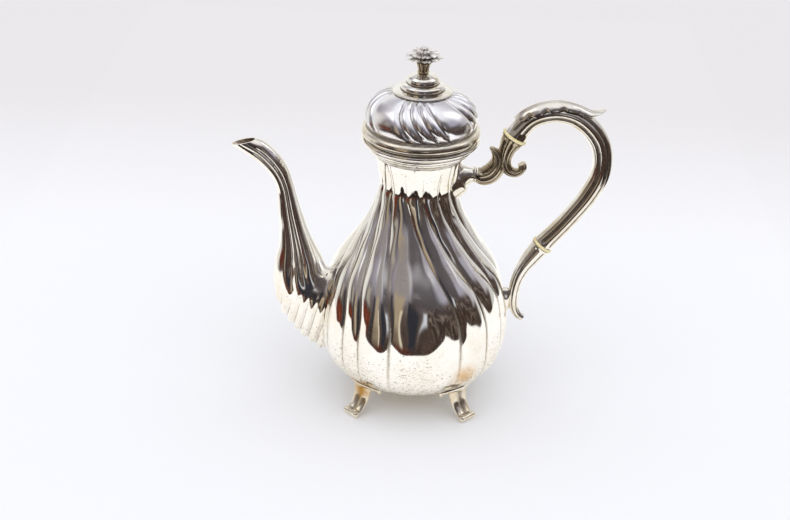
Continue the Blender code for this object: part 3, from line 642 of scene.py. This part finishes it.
def foot_parts():
    """The leg, its rolled toe and the two wings, as rows of points for a foot that faces +X."""
    leg, groove = swept(LEG, 10, [(0.0, 40.0)], 0.45, 48)
    reach = np.hypot(leg[..., 0], leg[..., 1])
    leg[..., 2] = np.clip(leg[..., 2], 0.0, belly_height(reach) + 0.5)
    along = np.linspace(-1, 1, 25)
    fat = 2.65 * np.sqrt(np.clip(1 - np.abs(along) ** 8, 0.02, 1)) * (0.72 + 0.28 * np.abs(along) ** 3)
    t = np.radians(np.arange(0, 360, 15))
    toe = np.stack([
        58.0 + fat[:, None] * np.cos(t), 6.9 * along[:, None] + t * 0, 2.7 + fat[:, None] * np.sin(t)
    ], -1)
    share = np.linspace(-1, 1, 61)[:, None]
    ball = bell(np.abs(share) - 0.93, 0.07)
    half = 1.2 + 3.9 * (1 - np.abs(share)) ** 1.3 + 1.5 * ball
    proud = 1.9 + 1.2 * ball + 1.1 * bell(share, 0.3)
    closing = np.sqrt(np.clip(1 - np.clip((np.abs(share) - 0.9) / 0.1, 0, 1) ** 2, 0.01, 1))
    radius = WING_RADIUS + half * closing * np.cos(t)
    height = belly_height(radius)
    lean = (belly_height(radius + 0.5) - belly_height(radius - 0.5))
    normal = np.stack([lean, -np.ones_like(lean)], -1) / np.hypot(lean, 1.0)[..., None]
    lift = np.clip(np.sin(t), -0.2, 1) * proud * closing
    r, z = radius + normal[..., 0] * lift, height + normal[..., 1] * lift
    turn = share * WING_SPAN / WING_RADIUS
    wings = np.stack([r * np.cos(turn), r * np.sin(turn), z], -1)
    return (leg, groove * 0.9), (toe, fat[:, None] * 0 + t * 0), (wings, bell(lift, 0.5) * 0.8)


AMBER = ((-34.5, -34.5, 19.0), 14.0, "#b98a3c")
# Warm and uneven, with an amber stain on one foot.
FOOT_SILVER = silver("foot_silver", "#f4efe4", "#d3c09a", "#5f4a2e", 0.13, film_mm=9, dirt=0.85, stain=AMBER)
for node, angle in FOOT_ANGLES.items():
    turn = math.radians(angle - 90)
    spin = np.array([[math.cos(turn), math.sin(turn), 0], [-math.sin(turn), math.cos(turn), 0], [0, 0, 1]])
    parts = [surface("foot_part", points @ spin, groove, sharp=50) for points, groove in foot_parts()]
    fitted(joined("scroll_" + node, parts), FOOT_SILVER, "pot", "cast_silver", node)


# ---- Lid --------------------------------------------------------------------------------------
# A domed lid raised from sheet, with four broad lobes and three narrow flutes between each pair,
# all turning one way. A moulded rim and a bezel are soldered below, a stepped boss on top.

LID_FOOT, LID_TOP = 206.1, 228.8
LID_PROFILE = [
    (LID_FOOT, 36.3), (209.0, 37.3), (212.9, 37.7), (217.0, 36.8), (221.3, 34.0),
    (225.0, 29.5), (227.4, 24.5), (LID_TOP, 19.8),
]
LID_WIDTHS = [45, 14.5, 14, 14.5, 40, 15, 15, 15, 48, 15, 15, 15, 48, 15, 15, 16]
LID_START = -62.0
LID_TWIST_PER_MM = 1.0
LID_EQUATOR = 212.9
LID_FLUTE = 1.9
LID_WALL = 0.9


def lid_rows(heights, inset):
    """Rows of the dome; its flutes sink along the surface's own normal, so they run up to the boss."""
    number, share = columns(LID_WIDTHS, 0.8, 12)
    edges = panel_edges(LID_WIDTHS, LID_START)
    z = np.asarray(heights, float)[:, None]
    angle = edges[number] + (edges[number + 1] - edges[number]) * share - (z - LID_EQUATOR) * LID_TWIST_PER_MM
    radius = curve(LID_PROFILE, z[:, 0])
    slope = (curve(LID_PROFILE, z[:, 0] + 0.05) - curve(LID_PROFILE, z[:, 0] - 0.05)) / 0.1
    outward, upward = 1 / np.hypot(1, slope), -slope / np.hypot(1, slope)
    depth = LID_FLUTE * np.clip((z - 205.6) / 4.5, 0, 1) * np.clip((radius - 19.9) / 6, 0, 1) ** 0.7
    across = np.abs(2 * share - 1)[None, :]
    broad = np.where(np.array(LID_WIDTHS)[number] > 30, 7.0, 1.9)[None, :]
    sink = depth * across**broad + inset
    hollow = across**20 * np.clip(depth / 1.5, 0, 1) + 0.9 * bell(z - 206.0, 0.9) + 0.5 * bell(z - 228.8, 0.5)
    return around(angle, radius - outward * sink, z - upward * sink), np.clip(hollow, 0, 1)


heights = np.concatenate([np.linspace(LID_FOOT, 214, 22), np.linspace(214.4, LID_TOP, 34)])
outer, groove = lid_rows(heights, 0.0)
inner, _ = lid_rows(heights[::-2], LID_WALL)
inner = np.concatenate([inner, lid_rows([LID_FOOT], LID_WALL)[0]])
turn = 360 * np.arange(outer.shape[1]) / outer.shape[1] + LID_START - (LID_TOP - LID_EQUATOR)
top = np.stack([around(turn, 2.0, LID_TOP), around(turn, 2.0, LID_TOP - LID_WALL)])
# Cooler and softer than the body, so its lobes show broad cloudy highlights; the cool tint is a painted
# reflection, a lavender cast.
LID_SILVER_PAINTED_COOL = silver("lid_silver_painted_cool", "#f7f7fd", "#efebe8", "#6b5947", 0.2, film_mm=20)
dome = surface(
    "fluted_lid_dome", np.concatenate([outer, top, inner]),
    np.concatenate([groove, top[..., 0] * 0, inner[..., 0] * 0]), ring=True
)
fitted(dome, LID_SILVER_PAINTED_COOL, "lid", "raised_silver", "lid_dome")

LID_RIM = [
    (34.5, 197.6), (37.4, 197.6), (37.6, 199.8), (39.1, 199.9), (39.8, 200.3), (40.0, 201.2), (39.9, 202.3),
    (39.5, 203.4), (38.7, 204.3), (37.7, 204.8), (36.9, 205.0), (36.5, 205.3), (36.4, 205.8), (34.5, 205.8),
]
LID_BOSS = [
    (1.9, 229.1), (19.7, 229.1), (19.9, 229.6), (19.6, 230.1), (18.0, 230.4), (15.6, 230.7), (14.0, 231.1),
    (14.5, 231.9), (14.7, 233.0), (14.3, 234.1), (13.3, 234.8), (11.8, 235.1), (10.4, 235.3), (10.8, 236.1),
    (10.8, 237.3), (10.2, 238.8), (8.9, 240.0), (7.0, 240.9), (5.0, 241.6), (3.9, 241.9), (1.9, 242.0),
]
# Yellowed satin, browner than the other mouldings.
WARM_SILVER = silver("warm_turned_silver", "#f0eade", "#d8ccb6", "#5c4933", 0.18, film_mm=11, dirt=0.95)
fitted(turned("lid_moulding", LID_RIM), WARM_SILVER, "lid", "turned_silver", "lid_rim")
fitted(turned("stepped_boss", LID_BOSS, segments=96), TURNED_SILVER, "lid", "turned_silver", "lid_boss")
for node in ("lid_bezel", "finial_washer", "finial_nut"):
    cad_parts[node].material_slots[0].material = TURNED_SILVER


# ---- Finial -----------------------------------------------------------------------------------
# A cast flower screwed through the lid: a fluted calyx that widens into a bell, three rings of
# broad petals one over the other, each arched along its middle, and a raised button.

CALYX = [(242.3, 3.9), (242.9, 4.1), (243.5, 3.5), (245.5, 3.8), (247.5, 4.5), (249.2, 5.3)]
FLOWER_CORE = [
    (249.5, 4.9), (250.6, 6.2), (251.8, 8.6), (252.6, 8.8), (254.0, 5.6), (256.0, 4.0),
    (257.2, 3.3), (257.8, 2.9), (258.6, 2.8), (259.4, 2.1), (259.9, 0.8),
]
PETAL_RINGS = [(12.6, 253.4, 1.5, 9, 0.0), (10.2, 255.3, 1.2, 7, 22.5), (6.2, 257.2, 0.7, 5, 8.0)]


def lathed(rows, ribs, strength, fade_from):
    """Rows of a turned piece with ribs cut round it, and how hollow the cuts are."""
    t = np.radians(np.arange(0, 360, 4))
    z, r = (c[:, None] for c in np.array(rows).T)
    cut = strength * (0.5 - 0.5 * np.cos(ribs * t)) * (z > fade_from)
    return np.stack([r * (1 - cut) * np.cos(t), r * (1 - cut) * np.sin(t), z + t * 0], -1), cut / strength


def petals(radius, height, droop, count, turn):
    """A ring of petals cast in one, rounded at the tips and thin at the edge."""
    theta = np.radians(np.arange(0, 360, 2.0))
    middle = np.abs(np.cos(count * (theta - math.radians(turn)) / 2))
    tip = radius * (1 - 0.3 * (1 - middle) ** 2) * (1 - 0.05 * np.cos(3 * count * theta) ** 2)
    out = np.array([0.1, 0.3, 0.5, 0.68, 0.82, 0.92, 0.98, 1.0])[:, None]
    crown = height + 1.3 * middle**0.7 * out - droop * out**3 + 0.4 * np.cos(3 * count * theta) * out**4
    under = crown - 1.3 * np.sqrt(1 - out**6) - 0.05
    rows = np.concatenate([out, out[::-1]])
    level = np.concatenate([crown, under[::-1]])
    points = np.stack([rows * tip * np.cos(theta), rows * tip * np.sin(theta), level], -1)
    return points, np.clip((1 - middle) * 1.3 + (1 - rows) * 0.5 - 0.2, 0, 1)


# Pale and softly blurred, with greyed gaps between the petals.
FLOWER_SILVER = silver("flower_silver", "#fdfcfa", "#f1ece4", "#7b6f63", 0.27, film_mm=6, dirt=0.5)
parts = [surface("petals", *petals(*ring), sharp=70) for ring in PETAL_RINGS]
parts.append(surface("button", *lathed(FLOWER_CORE, 10, 0.1, 0.0), sharp=50))
fitted(joined("flower_finial", parts), FLOWER_SILVER, "lid", "cast_silver", "finial_flower")
stem, groove = lathed([(221.0, 1.5), (242.2, 1.5), *CALYX], 10, 0.14, 243.2)
# Tan, as thin tarnish colours silver before it turns brown.
TONED_SILVER = silver("toned_silver", "#e2d3b8", "#c4af8e", "#6b5439", 0.24, film_mm=8)
fitted(surface("finial_calyx", stem, groove), TONED_SILVER, "lid", "turned_silver", "finial_stem")


# ---- Studio -----------------------------------------------------------------------------------
# The pot stands on a white sheet in soft light, a little stronger from the front. What the silver
# mirrors is set apart from what lights it: a second sheet, with a shaped front edge, and a dim brown
# room with two soft boxes above, both of them seen in reflections only.

scene = bpy.context.scene
scene.view_settings.view_transform = "Standard"
camera = bpy.data.objects.new("camera", bpy.data.cameras.new("camera"))
scene.collection.objects.link(camera)
scene.camera = camera
camera.data.sensor_width = 36.0
camera.data.lens = 64.98
camera.data.clip_end = 20.0
PITCH, YAW, ROLL = (math.radians(a) for a in (27.195, 0.927, 1.97))
forward = Vector((-math.sin(YAW) * math.cos(PITCH), math.cos(YAW) * math.cos(PITCH), -math.sin(PITCH)))
level = Vector((math.cos(YAW), math.sin(YAW), 0.0))
rise = level.cross(forward)
right = level * math.cos(ROLL) + rise * math.sin(ROLL)
up = rise * math.cos(ROLL) - level * math.sin(ROLL)
turned_to = Matrix((right, up, -forward)).transposed().to_4x4()
camera.matrix_world = Matrix.Translation((0.0, -0.8871, 0.5591)) @ turned_to


def sheet(name, corners, height, near, far_painted_shade, painted_glow=0.0):
    """A flat white sheet, lit from above, greyer away from the pot as painted shade; its emission is painted
    light in its near colour.
    """
    mesh = bpy.data.meshes.new(name)
    mesh.from_pydata([(x, y, height) for x, y in corners], [], [tuple(range(len(corners)))])
    made = bpy.data.objects.new(name, mesh)
    scene.collection.objects.link(made)
    material = bpy.data.materials.new(name)
    material.use_nodes = True
    tree = material.node_tree
    shader = tree.nodes["Principled BSDF"]
    shader.inputs["Roughness"].default_value = 0.7
    shader.inputs["Specular IOR Level"].default_value = 0.2
    # Emission is painted light: the sheet glows though it is no lamp.
    shader.inputs["Emission Color"].default_value = linear(near)
    shader.inputs["Emission Strength"].default_value = painted_glow
    depth = add(tree, "SeparateXYZ", {}, {"Vector": add(tree, "TexCoord").outputs["Object"]})
    # Painted shade: the colour greys from the near colour to the shaded one towards the back.
    share = add(
        tree, "MapRange", {"interpolation_type": "SMOOTHSTEP"},
        {"Value": depth.outputs["Y"], "From Min": 0.2, "From Max": 0.62},
    )
    colour = add(
        tree, "Mix", {"data_type": "RGBA"},
        {"Factor": share.outputs[0], FIRST: linear(near), SECOND: linear(far_painted_shade)},
    )
    tree.links.new(colour.outputs[MIXED], shader.inputs["Base Color"])
    mesh.materials.append(material)
    return made


# The table's second colour is painted shade, greying it towards the back.
table = sheet("table_top", [(-3, -3), (3, -3), (3, 3), (-3, 3)], 0.0, "#f2f4f9", "#e4e3e6")
table.visible_glossy = False
MIRRORED = [
    (-0.36, 0.9), (-0.36, -0.16), (-0.25, -0.185), (-0.12, -0.2), (0.0, -0.215), (0.13, -0.25), (0.31, -0.3),
    (0.34, 0.9),
]
# The mirrored sheet glows a little, painted light that brightens it in reflections.
mirrored = sheet("mirrored_sheet", MIRRORED, 0.0002, "#fcfbf8", "#fcfbf8", 0.07)
mirrored.visible_camera = False
mirrored.visible_diffuse = False
mirrored.visible_shadow = False

world = bpy.data.worlds.new("studio")
scene.world = world
world.use_nodes = True
tree = world.node_tree
towards = add(tree, "SeparateXYZ", {}, {"Vector": add(tree, "TexCoord").outputs["Generated"]})
elevation = add(tree, "Math", {"operation": "ARCSINE"}, {0: towards.outputs["Z"]})
height = add(tree, "Math", {"operation": "DEGREES"}, {0: elevation.outputs[0]}).outputs[0]
front = add(tree, "Math", {"operation": "MULTIPLY"}, {0: towards.outputs["Y"], 1: -1.0})
turn = add(tree, "Math", {"operation": "ARCTAN2"}, {0: towards.outputs["X"], 1: front.outputs[0]})
bearing = add(tree, "Math", {"operation": "DEGREES"}, {0: turn.outputs[0]}).outputs[0]
share = add(tree, "MapRange", {}, {"Value": height, "From Min": -90.0, "From Max": 90.0}).outputs[0]
room = add(tree, "ValToRGB", {"stops": [
    (0.30, "#2b211d"), (0.40, "#42352f"), (0.48, "#564a44"),
    (0.56, "#6c6363"), (0.64, "#857f85"), (0.70, "#a6a2ab"),
    (0.77, "#cbc8cc"), (0.83, "#ebebee"), (0.90, "#f8f8fa"), (1.0, "#ffffff"),
]}, {"Fac": share}).outputs["Color"]
light = add(tree, "ValToRGB", {"stops": [
    (0.5, "#7c6e58"), (0.61, "#d0c9bc"), (0.72, "#fbfbff"), (1.0, "#ffffff"),
]}, {"Fac": share}).outputs["Color"]
forward_light = add(
    tree, "MapRange", {}, {"Value": front.outputs[0], "From Min": -1.0, "To Min": 0.56, "To Max": 1.44}
).outputs[0]
light = add(tree, "VectorMath", {"operation": "SCALE"}, {0: light, "Scale": forward_light}).outputs[0]
spot = add(tree, "CombineXYZ", {}, {
    0: add(tree, "Math", {"operation": "MULTIPLY"}, {0: bearing, 1: 0.16}).outputs[0],
    1: add(tree, "Math", {"operation": "MULTIPLY"}, {0: height, 1: 0.035}).outputs[0],
}).outputs[0]
shadows = add(
    tree, "TexNoise", {}, {"Vector": spot, "Scale": 1.0, "Detail": 6.0, "Roughness": 0.62}
).outputs["Fac"]
streaks = add(
    tree, "TexNoise", {}, {"Vector": spot, "Scale": 5.0, "Detail": 3.0, "Roughness": 0.6}
).outputs["Fac"]
uneven = add(
    tree, "MapRange", {}, {"Value": shadows, "From Min": 0.3, "From Max": 0.7, "To Min": 0.45, "To Max": 1.5}
).outputs[0]
low_down = add(tree, "MapRange", {}, {"Value": height, "From Min": 45.0, "From Max": -10.0}).outputs[0]
grey = add(tree, "CombineColor", {}, {0: uneven, 1: uneven, 2: uneven}).outputs[0]
room = add(
    tree, "Mix", {"data_type": "RGBA", "blend_type": "MULTIPLY"},
    {"Factor": low_down, FIRST: room, SECOND: grey},
).outputs[MIXED]
BRICK = add(
    tree, "ValToRGB", {"stops": [(0.40, "#2a1715"), (0.5, "#5c2a1f"), (0.62, "#a25840")]}, {"Fac": streaks}
).outputs["Color"]
cells = add(tree, "Mapping", {}, {"Vector": spot, "Scale": (0.9, 4.2, 1.0)}).outputs[0]
boxes = add(tree, "TexVoronoi", {"distance": "CHEBYCHEV"}, {"Vector": cells, "Scale": 1.0})
SHELVES = add(tree, "ValToRGB", {"stops": [
    (0.0, "#261d1b"), (0.42, "#3d302b"), (0.5, "#75675c"),
    (0.56, "#392d29"), (0.64, "#93877c"), (0.7, "#463a35"),
]}, {"Fac": boxes.outputs["Distance"]}).outputs["Color"]


def patch(room, at, size, soft, colour, gain=1.0):
    """Lays something in the room at a bearing and height in degrees, with soft edges."""
    inside = []
    for place, middle, half, edge in zip((bearing, height), at, size, soft):
        off = add(tree, "Math", {"operation": "SUBTRACT"}, {0: place, 1: middle})
        off = add(tree, "Math", {"operation": "ABSOLUTE"}, {0: off.outputs[0]})
        inside.append(add(
            tree, "MapRange", {"interpolation_type": "SMOOTHSTEP"},
            {
                "Value": off.outputs[0], "From Min": half, "From Max": max(half - edge, 0.0),
                "To Max": min(gain, 1.0),
            },
        ).outputs[0])
    both = add(tree, "Math", {"operation": "MINIMUM"}, {0: inside[0], 1: inside[1]})
    if isinstance(colour, str):
        colour = [c * max(gain, 1.0) for c in linear(colour)[:3]] + [1.0]
    laid = add(
        tree, "Mix", {"data_type": "RGBA"}, {"Factor": both.outputs[0], FIRST: room, SECOND: colour}
    )
    return laid.outputs[MIXED]


# Each: bearing and height of the middle, half sizes, soft edges, colour, and strength if not 1.
THINGS_IN_THE_ROOM = [
    ((58, 2), (46, 19), (12, 8), SHELVES, 0.75),
    ((-100, 8), (17, 32), (8, 12), "#dcd8d1", 0.85),
    ((-79, -10), (21, 9), (8, 6), BRICK),
    ((-24, -19), (22, 6), (10, 4), BRICK, 0.5),
    ((-36, 8), (13, 28), (7, 14), "#a5957f"),
    ((-34, 40), (26, 16), (14, 10), "#8b8480", 0.8),
    ((-72, 12), (9, 14), (6, 8), "#a39b90"),
    ((-54, 4), (5, 20), (3, 8), "#3b3a40"),
    ((-27, -4), (3.5, 14), (2, 5), "#d2c6b0"),
    ((-6, 2), (11, 24), (5, 10), "#303138"),
    ((11, 0), (6, 11), (4, 6), "#c9ccd3"),
    ((5, 33), (6, 5), (4, 3.5), "#ededf2"),
    ((78, 27), (34, 12), (14, 9), "#a5a2ae"),
    ((26, 30), (40, 24), (17, 14), "#4b4547", 0.88),
    ((62, 45), (6, 4), (4, 3), "#c6c4cb"),
    ((106, 16), (24, 20), (14, 12), "#cfccd2", 0.75),
    ((-126, -4), (36, 34), (12, 14), "#e8e6e1"),
    ((128, 2), (24, 34), (14, 14), "#cfcdcb"),
    ((180, 0), (48, 44), (18, 14), "#f6f5f1"),
    ((-180, 0), (48, 44), (18, 14), "#f6f5f1"),
    ((-82, 52), (34, 18), (24, 16), "#ffffff", 1.5),
    ((106, 46), (24, 24), (20, 20), "#ffffff", 1.5),
]
for thing in THINGS_IN_THE_ROOM:
    room = patch(room, *thing)
ray = add(tree, "LightPath").outputs
BACKDROP = "#dddce0"
wall = add(
    tree, "Mix", {"data_type": "RGBA"},
    {"Factor": ray["Is Camera Ray"], FIRST: light, SECOND: linear(BACKDROP)},
).outputs[MIXED]
lamp = add(tree, "Mix", {"data_type": "RGBA"}, {"Factor": ray["Is Glossy Ray"], FIRST: wall, SECOND: room})
power = add(tree, "MapRange", {}, {"Value": ray["Is Glossy Ray"], "To Min": 1.24, "To Max": 1.0})
surround = tree.nodes["Background"]
tree.links.new(lamp.outputs[MIXED], surround.inputs["Color"])
tree.links.new(power.outputs[0], surround.inputs["Strength"])
